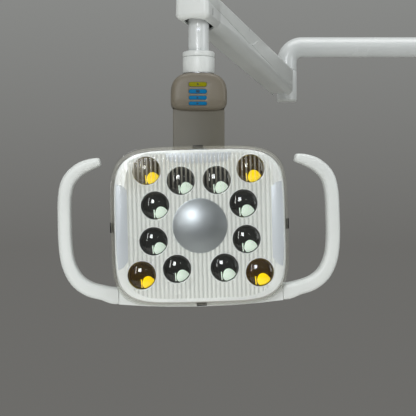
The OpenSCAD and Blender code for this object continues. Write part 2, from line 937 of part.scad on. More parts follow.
module clear_shield() color([0.9, 0.93, 0.9, 0.3]) {
    d = shield_depth;
    on_head() difference() {
        outline_body([[0, 0], [0.6, d - 10], [3.5, d - 4], [10, d - 1.1], [24, d - 0.1]]);
        outline_body([[2, -cut], [2.6, d - 11], [5.4, d - 5.4], [12, d - 2.8], [26, d - 2.1]]);
        latch_places() translate([-6.5, -3, -cut]) cube([13, 6, 7]);
    }
}

module shield_latches() color(black) {
    on_head() latch_places() translate([-6.2, -2.4, 0]) cube([12.4, 2.2, 5]);
}

// ---- handles ----

// Centre line of the right handle from tip to root: [x, y, half width, half depth]
handle_line = [[117.5, 79.5, 4.8, 10.5], [130, 76.5, 6.7, 10.5], [143.8, 70, 7.8, 10.5],
    [156, 57, 8.2, 10.5], [161, 38, 8.2, 10.5], [162, 8, 8.2, 10.5], [161.5, -22, 8.2, 10.5],
    [158, -44, 8.4, 10.5], [148.8, -62, 8.8, 10.5], [134.5, -73, 9, 10.5],
    [118, -78.2, 9, 9.8], [106, -81.6, 10.2, 8.2], [99.1, -81.9, 10.2, 7.4]];
handle_depth = 10.5;
handle_z = -9;

// Catmull-Rom blend of four values
function blend(a, b, c, d, t) =
    (2 * b + (c - a) * t + (2 * a - 5 * b + 4 * c - d) * t * t
     + (3 * b - a - 3 * c + d) * t * t * t) / 2;

function smooth(p, n) = let (last = len(p) - 1) concat(
    [for (i = [0 : last - 1], k = [0 : n - 1])
        blend(p[max(i - 1, 0)], p[i], p[i + 1], p[min(i + 2, last)], k / n)],
    [p[last]]);

function handle_ring(c, way, side, sides) = [for (k = [0 : sides - 1])
    let (q = 360 * k / sides,
         across = c[2] * sign(cos(q)) * pow(abs(cos(q)), 0.72),
         deep = c[3] * sign(sin(q)) * pow(abs(sin(q)), 0.72))
    [side * (c[0] + across * way[1]), c[1] - across * way[0], handle_z + deep]];

module handle(side) {
    sides = 16;
    line = smooth(handle_line, 3);
    n = len(line) - 1;
    ways = [for (i = [0 : n]) let (d = line[min(i + 1, n)] - line[max(i - 1, 0)])
        [d[0], d[1]] / norm([d[0], d[1]])];
    points = [for (i = [0 : n]) each handle_ring(line[i], ways[i], side, sides)];
    walls = [for (i = [0 : n - 1], k = [0 : sides - 1])
        let (a = i * sides + k, b = i * sides + (k + 1) % sides)
        side > 0 ? [a, b, b + sides, a + sides] : [a, a + sides, b + sides, b]];
    first = [for (k = [0 : sides - 1]) k];
    last = [for (k = [0 : sides - 1]) n * sides + sides - 1 - k];
    flip = function (f) side > 0 ? [for (k = [len(f) - 1 : -1 : 0]) f[k]] : f;
    on_head() polyhedron(points, concat(walls, [flip(first), flip(last)]), convexity = 8);
}

module handle_left() color(white) handle(-1);
module handle_right() color(white) handle(1);

// Chin casting under the back shell that joins the two handles
module handle_bracket() color(white) {
    half = [[98.7, -66], [90, -62], [70, -60], [30, -62], [0, -62]];
    low = [[0, -97.5], [40, -96.8], [70, -95], [86, -93.6], [98.7, -92.4]];
    right = concat(low, half);
    left = [for (i = [len(right) - 1 : -1 : 0]) [-right[i][0], right[i][1]]];
    on_head() difference() {
        translate([0, 0, handle_z - handle_depth]) linear_extrude(2 * handle_depth - 3)
            polygon(concat(right, left));
        outline_body([[1.8, 0], [3.8, -10], [13.8, -22], [31.8, -shell_depth + 2], [42, -shell_depth]]);
        outline_slab(-10, -2.9, 20);
    }
}

base_flange();
base_post();
base_bushes();
thrust_washer();
brake_screw();
rigid_tube();
swing_spigot();
elbow_spigot();
spigot_clips();
elbow_bracket();
elbow_bushes();
hub_cap();
rear_link_pin();
arm_beam();
upper_cover();
lower_cover();
nose_cap();
balance_spring();
spring_rod();
rear_pivot_pin();
front_pivot_pin();
cover_screws();
parallel_link();
front_knuckle();
lamp_post();
post_pin();
upper_collar();
lower_collar();
swivel_bush();
yoke_frame();
pad_front();
pad_rear();
key_board();
key_mat();
yoke_cover_front();
yoke_cover_rear();
tilt_pin();
tilt_caps();
tilt_washers();
key_mode();
key_high();
key_medium();
key_low();
tilt_knuckle();
roll_shaft();
back_shell();
head_frame();
heat_sink();
led_board();
led_emitters();
lens_holders();
clear_lenses();
amber_lenses();
bezel();
centre_badge();
clear_shield();
shield_latches();
handle_bracket();
handle_left();
handle_right();
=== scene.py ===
import json
import math

import bmesh
import bpy
from mathutils import Matrix, Vector


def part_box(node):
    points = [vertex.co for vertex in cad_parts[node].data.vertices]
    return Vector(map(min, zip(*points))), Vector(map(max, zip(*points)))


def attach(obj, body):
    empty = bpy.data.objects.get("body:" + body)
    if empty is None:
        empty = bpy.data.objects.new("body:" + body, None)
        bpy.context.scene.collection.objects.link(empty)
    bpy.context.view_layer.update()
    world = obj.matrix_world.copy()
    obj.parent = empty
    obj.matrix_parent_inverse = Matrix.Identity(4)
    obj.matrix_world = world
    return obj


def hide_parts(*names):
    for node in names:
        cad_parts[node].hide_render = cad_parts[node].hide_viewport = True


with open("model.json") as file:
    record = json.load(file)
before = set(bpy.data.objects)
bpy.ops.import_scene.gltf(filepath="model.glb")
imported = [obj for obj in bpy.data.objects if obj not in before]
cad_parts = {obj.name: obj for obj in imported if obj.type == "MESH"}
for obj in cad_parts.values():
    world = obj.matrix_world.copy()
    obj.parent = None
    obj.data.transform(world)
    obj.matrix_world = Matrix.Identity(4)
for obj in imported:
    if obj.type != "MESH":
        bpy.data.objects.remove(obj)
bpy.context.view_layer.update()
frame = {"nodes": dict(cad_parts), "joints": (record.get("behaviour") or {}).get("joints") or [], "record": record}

MM = 0.001
joints = {j["name"]: j for j in frame["joints"]}
slot_of = {s["node"]: s["material_slot"] for s in frame["record"]["subparts"]}


# ---- frames of the moving bodies ----

def joint_point(name):
    return Vector(joints[name]["pos_m"])


HEAD_ROLL = 1.4  # degrees
lift_point = joint_point("arm_lift")
knuckle_point = joint_point("knuckle_level")
head_point = joint_point("head_roll")
tilt_axis = Vector(joints["head_tilt"]["axis"])
elbow_point = joint_point("elbow_swivel")
arm_line = knuckle_point - lift_point
FLEX_LEN = arm_line.length / MM
arm_yaw = math.atan2(arm_line.y, arm_line.x)
arm_pitch = math.asin(arm_line.z / arm_line.length)
yoke_yaw = math.atan2(tilt_axis.y, tilt_axis.x)

ROW = Matrix.Identity(4)
POST = Matrix.Translation((knuckle_point.x, knuckle_point.y, 0))
YOKE = POST @ Matrix.Rotation(yoke_yaw, 4, "Z")
ELBOW = Matrix.Translation((elbow_point.x, elbow_point.y, 0)) @ Matrix.Rotation(arm_yaw, 4, "Z")
ARM = (Matrix.Translation(lift_point) @ Matrix.Rotation(arm_yaw, 4, "Z")
       @ Matrix.Rotation(-arm_pitch, 4, "Y"))
# X right, Y up, Z towards the viewer, origin in the rim plane
HEAD = (Matrix.Translation(head_point) @ Matrix.Rotation(yoke_yaw, 4, "Z")
        @ Matrix.Rotation(math.radians(-HEAD_ROLL), 4, "Y") @ Matrix.Rotation(math.radians(90), 4, "X"))


# ---- materials ----

def srgb(r, g, b):
    """Linear colour of an sRGB one given in 0 to 255."""
    return tuple((c / 255 / 12.92) if c / 255 < 0.04045 else ((c / 255 + 0.055) / 1.055) ** 2.4
                 for c in (r, g, b)) + (1.0,)


def shade(colour, factor):
    return tuple(min(c * factor, 1.0) for c in colour[:3]) + (1.0,)


def new_material(name):
    material = bpy.data.materials.new(name)
    material.use_nodes = True
    tree = material.node_tree
    tree.nodes.clear()
    return material, tree, tree.nodes.new("ShaderNodeOutputMaterial")


def add(tree, kind, inputs=None, **settings):
    """New shader node, with its settings and its inputs: values, or sockets to link."""
    node = tree.nodes.new("ShaderNode" + kind)
    for key, value in settings.items():
        setattr(node, key, value)
    for key, value in (inputs or {}).items():
        if isinstance(value, bpy.types.NodeSocket):
            tree.links.new(value, node.inputs[key])
        else:
            node.inputs[key].default_value = value
    return node


def noise(tree, vector, scale, detail=3.0):
    return add(tree, "TexNoise", {"Vector": vector, "Scale": scale, "Detail": detail}).outputs["Fac"]


def spread(tree, value, low, high, start=0.35, end=0.65):
    """Maps a noise's middle range to low..high."""
    return add(tree, "MapRange", {"Value": value, "From Min": start, "From Max": end,
                                  "To Min": low, "To Max": high}).outputs["Result"]


def mix_colour(tree, factor, a, b):
    node = tree.nodes.new("ShaderNodeMix")
    node.data_type = "RGBA"
    for index, value in ((0, factor), (6, a), (7, b)):
        if isinstance(value, bpy.types.NodeSocket):
            tree.links.new(value, node.inputs[index])
        else:
            node.inputs[index].default_value = value
    return node.outputs[2]


RIB_PITCH = 5.1
TONE_SCALE, DUST_SCALE = 18.0, 6.0  # noise scales, per metre
SMUDGE_SCALE, RIPPLE_SCALE = 22.0, 160.0
DUST_COLOUR = (0.42, 0.39, 0.33, 1.0)


def rib_wave(tree, x):
    """1 on the crest of each rib and -1 in each groove, for ribs that run along Y."""
    turn = add(tree, "Math", {0: x, 1: 2 * math.pi / (RIB_PITCH * MM)}, operation="MULTIPLY")
    return add(tree, "Math", {0: turn.outputs[0]}, operation="COSINE").outputs[0]


def surface(name, colour, rough, metallic=0.0, coat=0.0, tone=0.04, dust=0.0, grain=900.0, bump=0.02,
            stretch=(1, 1, 1), rough_spread=0.05, edge=0.0, specular=0.5, painted_glow=0.0, painted_groove_shade=0.0):
    """Moulded, painted or machined finish: tone patches, grain, dust in broad areas and a painted highlight that
    lightens sharp edges.
    Painted shade darkens the hollows between ribs that run along Y, and the emission strength lets the surface
    emit light as painted light, though it is no lamp."""
    material, tree, out = new_material(name)
    where = add(tree, "TexCoord").outputs["Object"]
    grained = add(tree, "Mapping", {"Vector": where, "Scale": stretch}).outputs["Vector"]
    broad = noise(tree, where, TONE_SCALE, 5.0)
    fine = noise(tree, grained, grain)
    tint = mix_colour(tree, spread(tree, broad, 0, 1), shade(colour, 1 - tone), shade(colour, 1 + tone))
    speck = spread(tree, fine, 0, 0.5, 0.5, 0.75)
    tint = mix_colour(tree, speck, tint, shade(colour, 1 - 2 * tone))
    if dust:
        film = spread(tree, noise(tree, where, DUST_SCALE, 6.0), 0, dust, 0.45, 0.75)
        tint = mix_colour(tree, film, tint, DUST_COLOUR)
    if edge:
        # painted edge highlight: sharp convex edges are lightened
        point = add(tree, "NewGeometry").outputs["Pointiness"]
        painted_edge_highlight = add(tree, "MapRange", {"Value": point, "From Min": 0.51, "From Max": 0.58,
                                      "To Min": 0.0, "To Max": edge}).outputs["Result"]
        tint = mix_colour(tree, painted_edge_highlight, tint, shade(colour, 1.35))
    if painted_groove_shade:
        # painted shade: the hollows between the ribs are darkened
        x = add(tree, "SeparateXYZ", {"Vector": where}).outputs["X"]
        groove_shade_mask = spread(tree, rib_wave(tree, x), painted_groove_shade, 0.0, -0.9, 0.3)
        tint = mix_colour(tree, groove_shade_mask, tint, shade(colour, 0.45))
    roughness = spread(tree, broad, rough - rough_spread, rough + rough_spread, 0.3, 0.7)
    height = add(tree, "Bump", {"Height": fine, "Strength": 0.6, "Distance": bump * MM})
    shader = add(tree, "BsdfPrincipled", {
        "Base Color": tint, "Roughness": roughness, "Metallic": metallic, "Coat Weight": coat,
        "Coat Roughness": 0.12, "Specular IOR Level": specular,
        "Emission Color": tint, "Emission Strength": painted_glow, "Normal": height.outputs["Normal"]})
    tree.links.new(shader.outputs[0], out.inputs[0])
    return material


# where the shield's front face starts, and where painted reflection bands are laid on its ribs, in metres
FACE_Z = (0.0200, 0.0216)
PAINTED_STRIPES_Y, PAINTED_STRIPES_X = (0.036, 0.072), (-0.078, -0.048)


def clear_surface(name, tint, edge_tint, gloss, ior, edge_power, ribs=0.0, cover=0.0, painted_stripes=0.0,
                  ripple=0.004):
    """Clear moulding: see-through face on, more solid at a grazing angle, with a glossy skin.
    Ribs run along Y; painted_stripes is the strength of painted reflection bands on the rib crests, towards the
    top left."""
    material, tree, out = new_material(name)
    where = add(tree, "TexCoord").outputs["Object"]
    height = spread(tree, noise(tree, where, RIPPLE_SCALE), 0.0, ripple)
    place_in = add(tree, "SeparateXYZ", {"Vector": where})
    if ribs:
        wave = rib_wave(tree, place_in.outputs["X"])
        flat = spread(tree, place_in.outputs["Z"], 0.0, ribs, *FACE_Z)
        height = add(tree, "Math", {0: wave, 1: flat, 2: height}, operation="MULTIPLY_ADD").outputs[0]
    relief = add(tree, "Bump", {"Height": height, "Strength": 1.0, "Distance": 0.5 * MM})
    normal = relief.outputs["Normal"]
    see = add(tree, "BsdfTransparent", {"Color": tint})
    skin = add(tree, "BsdfGlossy", {"Color": (1, 1, 1, 1), "Normal": normal, "Roughness": gloss})
    bounce = add(tree, "Fresnel", {"IOR": ior, "Normal": normal})
    glass = add(tree, "MixShader", {0: bounce.outputs[0], 1: see.outputs[0], 2: skin.outputs[0]})
    smudge = spread(tree, noise(tree, where, SMUDGE_SCALE, 4.0), 0.8, 1.2)
    body = add(tree, "BsdfPrincipled", {"Base Color": edge_tint, "Roughness": 0.3, "Normal": normal})
    facing = add(tree, "LayerWeight", {"Blend": 0.5}).outputs["Facing"]
    grazing = add(tree, "Math", {0: facing, 1: edge_power}, operation="POWER").outputs[0]
    film = add(tree, "Math", {0: grazing, 1: 0.75, 2: cover}, operation="MULTIPLY_ADD").outputs[0]
    film = add(tree, "Math", {0: film, 1: smudge}, operation="MULTIPLY").outputs[0]
    if painted_stripes:
        # painted reflection: bright bands on the rib crests, towards the top and the left of the front face
        crest = spread(tree, wave, 0.0, 1.0, -0.2, 1.0)
        upper = spread(tree, place_in.outputs["Y"], 0.0, painted_stripes, *PAINTED_STRIPES_Y)
        left = spread(tree, place_in.outputs["X"], 0.45, 0.0, *PAINTED_STRIPES_X)
        painted_glare = add(tree, "Math", {0: crest, 1: 0.75, 2: left}, operation="MULTIPLY_ADD").outputs[0]
        painted_shine = add(tree, "Math", {0: painted_glare, 1: upper}, operation="MULTIPLY").outputs[0]
        front = spread(tree, place_in.outputs["Z"], 0.0, 1.0, *FACE_Z)
        painted_shine = add(tree, "Math", {0: painted_shine, 1: front}, operation="MULTIPLY").outputs[0]
        film = add(tree, "Math", {0: film, 1: painted_shine}, operation="ADD", use_clamp=True).outputs[0]
    whole = add(tree, "MixShader", {0: film, 1: glass.outputs[0], 2: body.outputs[0]})
    tree.links.new(whole.outputs[0], out.inputs[0])
    return material


WHITE = srgb(226, 230, 227)
SILVER = {"metallic": 0.08, "tone": 0.02, "grain": 1600.0, "bump": 0.012}
MATERIALS = {
    "white_enamel": surface("white_enamel", srgb(229, 233, 232), 0.24, coat=0.35, tone=0.015,
                            grain=420.0, bump=0.012, edge=0.12, dust=0.05),
    "white_plastic": surface("white_plastic", WHITE, 0.32, tone=0.02, grain=1400.0, bump=0.02,
                             edge=0.10, dust=0.06),
    "grey_plastic": surface("grey_plastic", srgb(118, 111, 97), 0.42, tone=0.05, grain=1700.0,
                            bump=0.05, edge=0.12, dust=0.08),
    "steel": surface("steel", srgb(176, 178, 180), 0.30, metallic=1.0, tone=0.06, grain=700.0,
                     stretch=(1, 1, 14), bump=0.01),
    "aluminium": surface("aluminium", srgb(190, 192, 194), 0.38, metallic=1.0, tone=0.05, grain=900.0,
                         bump=0.03),
    "nylon": surface("nylon", srgb(222, 216, 196), 0.5, tone=0.04, grain=1100.0, bump=0.02),
    "black_plastic": surface("black_plastic", srgb(13, 14, 14), 0.3, tone=0.12, grain=1300.0,
                             bump=0.01, specular=0.3),
    "silver_plastic": surface("silver_plastic", srgb(243, 246, 245), 0.30, coat=0.15, **SILVER),
    "badge_metal": surface("badge_metal", srgb(200, 206, 211), 0.40, metallic=0.86, tone=0.03,
                           grain=900.0, stretch=(1, 0.06, 1), bump=0.012, rough_spread=0.03),
    # the phosphor glows as painted light, though the LED is off
    "phosphor": surface("phosphor", srgb(220, 233, 217), 0.5, tone=0.05, grain=500.0, bump=0.04,
                        painted_glow=0.8),
    "board_white": surface("board_white", srgb(214, 216, 214), 0.45, tone=0.04, bump=0.03),
    "board_green": surface("board_green", srgb(30, 92, 58), 0.4, tone=0.12, grain=800.0, bump=0.05),
    "silicone": surface("silicone", srgb(120, 120, 118), 0.6, tone=0.05, bump=0.03),
    "key_yellow": surface("key_yellow", srgb(134, 132, 0), 0.55, tone=0.05, grain=1500.0, bump=0.02,
                          specular=0.12),
    "key_blue": surface("key_blue", srgb(0, 108, 158), 0.55, tone=0.05, grain=1500.0, bump=0.02,
                        specular=0.12),
    "clear_plastic": clear_surface("clear_plastic", (0.996, 0.998, 0.993, 1), srgb(206, 203, 186), 0.05,
                                   ior=1.22, ribs=0.22, edge_power=3.6, cover=0.004, painted_stripes=0.55,
                                   ripple=0.03),
    "lens_clear": clear_surface("lens_clear", (0.97, 0.985, 0.99, 1), srgb(18, 20, 22), 0.010,
                                ior=1.85, edge_power=5.0),
    "lens_amber": clear_surface("lens_amber", (1.0, 0.95, 0.03, 1), srgb(200, 122, 0), 0.010,
                                ior=1.85, edge_power=4.0, cover=0.03),
}
# finishes of single pieces, beside the ones the record names
# amber phosphor that glows as painted light, though the LED is off
amber_painted_glow = surface("amber_painted_glow", srgb(255, 232, 2), 0.5, tone=0.05, grain=500.0, bump=0.04,
                     painted_glow=0.95)
# the fluted bezel's finish, with painted shade in the hollows between its ribs
fluted_silver_painted_shade = surface("fluted_silver_painted_shade", srgb(243, 246, 243), 0.30, painted_groove_shade=0.34, **SILVER)
panel_silver = surface("panel_silver", srgb(214, 220, 227), 0.34, metallic=0.15, tone=0.02, grain=1600.0,
                       bump=0.012)
# darker copy of the pad's grey for the yoke covers: painted shade, as they sit in the pad's shadow
yoke_grey_painted_shade = surface("yoke_grey_painted_shade", srgb(108, 104, 92), 0.45, tone=0.05, grain=1700.0, bump=0.05,
                    edge=0.12, dust=0.08)
mark_ink = surface("mark_ink", srgb(24, 30, 40), 0.5, tone=0.1, bump=0.01)

for name, node in frame["nodes"].items():
    node.data.materials.clear()
    node.data.materials.append(MATERIALS[slot_of[name]])


# ---- mesh building ----

def place(name, mesh, at, body, material_slot, stands_for=(), material=None, crease=32):
    """Object from a mesh in its body's frame, shaded smooth up to the crease angle."""
    obj = bpy.data.objects.new(name, mesh)
    bpy.context.scene.collection.objects.link(obj)
    obj.matrix_world = at
    obj.data.materials.clear()
    obj.data.materials.append(material or MATERIALS[material_slot])
    obj.data.shade_smooth()
    obj.data.set_sharp_from_angle(angle=math.radians(crease))
    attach(obj, body)
    if stands_for:
        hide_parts(*stands_for)
    return obj


def mesh_of(verts, faces):
    mesh = bpy.data.meshes.new("made")
    mesh.from_pydata([Vector(v) * MM for v in verts], [], faces)
    work = bmesh.new()
    work.from_mesh(mesh)
    bmesh.ops.remove_doubles(work, verts=work.verts, dist=1e-7)
    bmesh.ops.recalc_face_normals(work, faces=work.faces)
    work.to_mesh(mesh)
    work.free()
    return mesh


def rings_mesh(rings, closed=False):
    """Skin over rings of points that all have the same count, capped unless it closes on itself."""
    count = len(rings[0])
    verts = [p for ring in rings for p in ring]
    faces = []
    spans = len(rings) if closed else len(rings) - 1
    for i in range(spans):
        a, b = i * count, (i + 1) % len(rings) * count
        for k in range(count):
            n = (k + 1) % count
            faces.append((a + k, a + n, b + n, b + k))
    if not closed:
        faces.append(tuple(range(count))[::-1])
        faces.append(tuple(range(len(verts) - count, len(verts))))
    return mesh_of(verts, faces)


def lathe(profile, sides=72, centre=(0, 0)):
    """Ring about Z with the closed section [(radius, z)]; a radius near 0 makes it solid."""
    rings = []
    for k in range(sides):
        t = 2 * math.pi * k / sides
        rings.append([(centre[0] + r * math.cos(t), centre[1] + r * math.sin(t), z)
                      for r, z in profile])
    verts = [p for ring in rings for p in ring]
    count = len(profile)
    faces = []
    for i in range(sides):
        a, b = i * count, (i + 1) % sides * count
        for k in range(count):
            n = (k + 1) % count
            faces.append((a + k, a + n, b + n, b + k))
    return mesh_of(verts, faces)


def joined(meshes):
    """One mesh from several."""
    work = bmesh.new()
    for mesh in meshes:
        work.from_mesh(mesh)
    whole = bpy.data.meshes.new("joined")
    work.to_mesh(whole)
    work.free()
    return whole


def arc(centre, radius, start, end, steps=6):
    """Points of an arc in a plane, angles in degrees."""
    return [(centre[0] + radius * math.cos(math.radians(start + (end - start) * k / steps)),
             centre[1] + radius * math.sin(math.radians(start + (end - start) * k / steps)))
            for k in range(steps + 1)]


def prism(points, low, high):
    """Straight prism over an outline in the XY plane."""
    return rings_mesh([[(x, y, low) for x, y in points], [(x, y, high) for x, y in points]])


def block(low, high):
    (x0, y0, z0), (x1, y1, z1) = low, high
    return prism([(x0, y0), (x1, y0), (x1, y1), (x0, y1)], z0, z1)


def disc(x, y, radius, low, high, sides=64):
    return prism([(x + radius * math.cos(2 * math.pi * k / sides),
                   y + radius * math.sin(2 * math.pi * k / sides)) for k in range(sides)], low, high)


def modified(mesh, *modifiers):
    """The mesh after the modifiers, each given as (type, settings)."""
    obj = bpy.data.objects.new("work", mesh)
    bpy.context.scene.collection.objects.link(obj)
    for kind, settings in modifiers:
        modifier = obj.modifiers.new(kind, kind)
        for key, value in settings.items():
            setattr(modifier, key, value)
    bpy.context.view_layer.update()
    graph = bpy.context.evaluated_depsgraph_get()
    result = bpy.data.meshes.new_from_object(obj.evaluated_get(graph))
    bpy.data.objects.remove(obj)
    return result


def boolean(mesh, other, operation="DIFFERENCE"):
    """The first mesh cut by, joined to or cut down to the second."""
    tool = bpy.data.objects.new("tool", other)
    bpy.context.scene.collection.objects.link(tool)
    result = modified(mesh, ("BOOLEAN", {"object": tool, "operation": operation, "solver": "EXACT"}))
    bpy.data.objects.remove(tool)
    return result


def rounded(mesh, width, segments=3, angle=30):
    return modified(mesh, ("BEVEL", {"width": width * MM, "segments": segments,
                                     "limit_method": "ANGLE", "angle_limit": math.radians(angle),
                                     "harden_normals": False}))


def node_mesh(node, at):
    """A CAD node's mesh in its body's frame, welded, with its flat faces whole again."""
    mesh = frame["nodes"][node].data.copy()
    mesh.transform(at.inverted())
    work = bmesh.new()
    work.from_mesh(mesh)
    bmesh.ops.remove_doubles(work, verts=work.verts, dist=2e-6)
    bmesh.ops.dissolve_limit(work, angle_limit=math.radians(0.6), verts=work.verts, edges=work.edges)
    bmesh.ops.recalc_face_normals(work, faces=work.faces)
    work.to_mesh(mesh)
    work.free()
    return mesh


def softened(node, at, body, width, angle=30, material=None):
    """Stands for a CAD node with the same shape and its sharp edges rounded."""
    mesh = rounded(node_mesh(node, at), width, 3, angle)
    return place(node + "_soft", mesh, at, body, slot_of[node], [node], material)


def body_of(node):
    return next(b for b, members in frame["record"]["behaviour"]["bodies"].items() if node in members)


# ---- lamp head ----

OUTLINE_POWER = 4.9
SHIELD_A, SHIELD_B = 107.0, 96.0
LENS_R = 17.0
CORNER_LENSES = [(61.9, 66.6), (70.2, -57.2)]
MAIN_LENSES = [(21.4, 53.9), (52.6, 25.3), (55.3, -17.2), (28.3, -50.6)]


def mirrored(points):
    return [(side * x, y) for x, y in points for side in (-1, 1)]


ALL_LENSES = mirrored(CORNER_LENSES + MAIN_LENSES)


def evenly(points, count):
    """A closed line's points, count of them, the same distance apart."""
    loop = points + points[:1]
    steps = [math.dist(loop[i], loop[i + 1]) for i in range(len(points))]
    gap, out, i, gone = sum(steps) / count, [], 0, 0.0
    for k in range(count):
        while gone + steps[i] < k * gap:
            gone += steps[i]
            i += 1
        t = (k * gap - gone) / steps[i]
        out.append(tuple(a + (b - a) * t for a, b in zip(loop[i], loop[i + 1])))
    return out


def powered(value, power):
    """A power that keeps the sign."""
    return math.copysign(abs(value) ** power, value)


def outline(a, b, count=180, power=OUTLINE_POWER):
    """Bowed, round-cornered outline, by the superellipse formula."""
    dense = []
    for k in range(1440):
        t = math.radians(k / 4)
        c, s = math.cos(t), math.sin(t)
        dense.append((a * powered(c, 2 / power), b * powered(s, 2 / power)))
    return evenly(dense, count)


def pan(stations):
    """Closed skin over head outlines, each [inset, height]."""
    return rings_mesh([[(x, y, z) for x, y in outline(SHIELD_A - i, SHIELD_B - i)]
                       for i, z in stations])


def latch_frames():
    """Middle of each side of the shield, X along the side and Y outwards."""
    for dx, dy, turn in ((0, SHIELD_B, 0), (0, -SHIELD_B, 180), (-SHIELD_A, 0, 90), (SHIELD_A, 0, -90)):
        yield Matrix.Translation((dx * MM, dy * MM, 0)) @ Matrix.Rotation(math.radians(turn), 4, "Z")


def moved(mesh, matrix):
    mesh.transform(matrix)
    return mesh


# the shield is a thin pan with a stepped rim and a soft front edge
shield_out = [(0, 0), (0, 2.4), (0.4, 2.9), (1.3, 3.1), (1.6, 7), (2.1, 11.5), (3.2, 15.4), (5.2, 18.2),
              (8.4, 20.2), (13, 21.2), (20, 21.7), (32, 21.9), (55, 22)]
shield_in = [(55, 20), (32, 19.9), (20, 19.7), (13.8, 19.2), (9.6, 18.3), (6.8, 16.6), (5.2, 14.4),
             (4.2, 11.2), (3.6, 7), (3.2, 3.4), (2.2, 0)]
shield = boolean(pan(shield_out), pan([(2.2, -1)] + shield_in[::-1]))
for spot in latch_frames():
    shield = boolean(shield, moved(block((-6.5, -3, -1), (6.5, 3, 6)), spot))
place("shield_cover", shield, HEAD, "head", "clear_plastic", ["clear_shield"], crease=24)

latch = rounded(block((-6.2, -2.6, 0.2), (6.2, -0.1, 5.6)), 0.45)
tongue = rounded(block((-3.2, -1.0, 1.0), (3.2, 0.0, 4.6)), 0.4)
latches = joined([moved(m.copy(), spot) for spot in latch_frames() for m in (latch, tongue)])
place("latch_clips", latches, HEAD, "head", "black_plastic", ["shield_latches"])


def lens_holes(radius, low, high):
    return joined([disc(x, y, radius, low, high, 72) for x, y in ALL_LENSES])


# bezel: base plate, fluted face, side and top panels, a rim round each lens
PLATE_LOW, PLATE_TOP = 9, 10.9
RIB_RISE = 1.5
FLUTE_X, FLUTE_Y = 90, 88
TRIM_FOOT = 10.6  # sunk a little into the plate
base_plate = boolean(prism(outline(101, 91), PLATE_LOW, PLATE_TOP), lens_holes(LENS_R, 0, 30))
base_plate = rounded(base_plate, 0.5, 2, 60)
place("bezel_plate", base_plate, HEAD, "head", "silver_plastic", ["bezel"])


def rib_line(half, foot, rise):
    """Scalloped section: half-round ribs side by side."""
    steps = 8
    count = int(2 * half / RIB_PITCH) * steps
    line = []
    for k in range(count + 1):
        x = -half + 2 * half * k / count
        line.append((x, foot + rise * abs(math.cos(math.pi * x / RIB_PITCH)) ** 0.7))
    return line


ribs = rib_line(FLUTE_X, PLATE_TOP, RIB_RISE)
section = [(-FLUTE_X, TRIM_FOOT)] + ribs + [(FLUTE_X, TRIM_FOOT)]
fluted = rings_mesh([[(x, y, z) for x, z in section] for y in (-FLUTE_Y, FLUTE_Y)])
fluted = boolean(fluted, prism(outline(89.5, 86, 144, 5.5), PLATE_LOW, 20), "INTERSECT")
fluted = boolean(fluted, lens_holes(LENS_R, 0, 30))
place("bezel_flutes", fluted, HEAD, "head", "silver_plastic", material=fluted_silver_painted_shade, crease=50)

side_panel = [(85.5, 45), (92, 49.5), (98.5, 51), (99.6, 30), (100, 0), (99.4, -30), (98, -50.5),
              (92, -47.5), (85.5, -40.5)]
top_panel = [(-39, 86.5), (-37.5, 79.5), (-33, 76.2), (-18, 74.6), (0, 74), (18, 74.6), (33, 76.2),
             (37.5, 79.5), (39, 86.5)]
panels = joined([rounded(prism(points, TRIM_FOOT, top), 0.7)
                 for points, top in ((side_panel, 12.4), (top_panel, 12.5),
                                     ([(-x, y) for x, y in side_panel], 12.4))])
place("bezel_panels", panels, HEAD, "head", "silver_plastic", material=panel_silver)

lip = [(LENS_R - 0.25, 9.2), (LENS_R - 0.25, 12.1), (LENS_R, 12.5), (LENS_R + 0.5, 12.6),
       (LENS_R + 0.95, 12.2), (LENS_R + 1.1, 11.4), (LENS_R + 1.1, 9.2)]
rims = joined([lathe(lip, 72, p) for p in ALL_LENSES])
place("lens_rims", rims, HEAD, "head", "silver_plastic")

# a dark reflector cup under each lens, over its LED
cup = [(18.2, -6.1), (18.2, 7.9), (17.3, 8.1), (15.2, 2.4), (12.4, -1.6), (9.4, -2.8), (5.2, -3.1),
       (0.01, -3.1), (0.01, -3.5), (4.9, -3.5), (4.9, -6.1)]
web = boolean(prism(outline(94, 84), 3, 5), lens_holes(18.0, 0, 10))
web = boolean(web, disc(0, 0, 14, 0, 10))
place("lens_cups", joined([web] + [lathe(cup, 72, p) for p in ALL_LENSES]), HEAD, "head",
      "black_plastic", ["lens_holders"])

# lenses: a low dome on a short cylinder
LENS_SEAT, LENS_LIP, LENS_RISE = 8.4, 1.2, 4.6


LENS_GAP = 0.35
AXIS = 0.01  # smallest radius of a turned line, so that no ring shrinks to a point


def dome(centre, steps=14):
    """One lens, turned about its own axis."""
    radius = LENS_R - LENS_GAP
    ball = (radius ** 2 + LENS_RISE ** 2) / (2 * LENS_RISE)
    top = LENS_SEAT + LENS_LIP + LENS_RISE
    line = [(AXIS, LENS_SEAT), (radius - 0.3, LENS_SEAT), (radius, LENS_SEAT + 0.3),
            (radius, LENS_SEAT + LENS_LIP)]
    half = math.asin(radius / ball)
    for k in range(1, steps + 1):
        t = half * (1 - k / steps)
        line.append((max(ball * math.sin(t), AXIS), top - ball + ball * math.cos(t)))
    return lathe(line, 72, centre)


clear, amber = (joined([dome(p) for p in mirrored(points)]) for points in (MAIN_LENSES, CORNER_LENSES))
place("lens_domes_clear", clear, HEAD, "head", "lens_clear", ["clear_lenses"])
place("lens_domes_amber", amber, HEAD, "head", "lens_amber", ["amber_lenses"])


# painted refraction image: the LED as each lens would magnify it, drawn as glowing mounds low and to the right,
# with a sliver beside it
PATCH_LIMIT = 0.93 * LENS_R
PATCH_Z = 6.6


def inside_lens(x, y):
    """The point, or the nearest one to it inside the patch limit."""
    reach = math.hypot(x, y)
    return (x, y) if reach <= PATCH_LIMIT else (x * PATCH_LIMIT / reach, y * PATCH_LIMIT / reach)


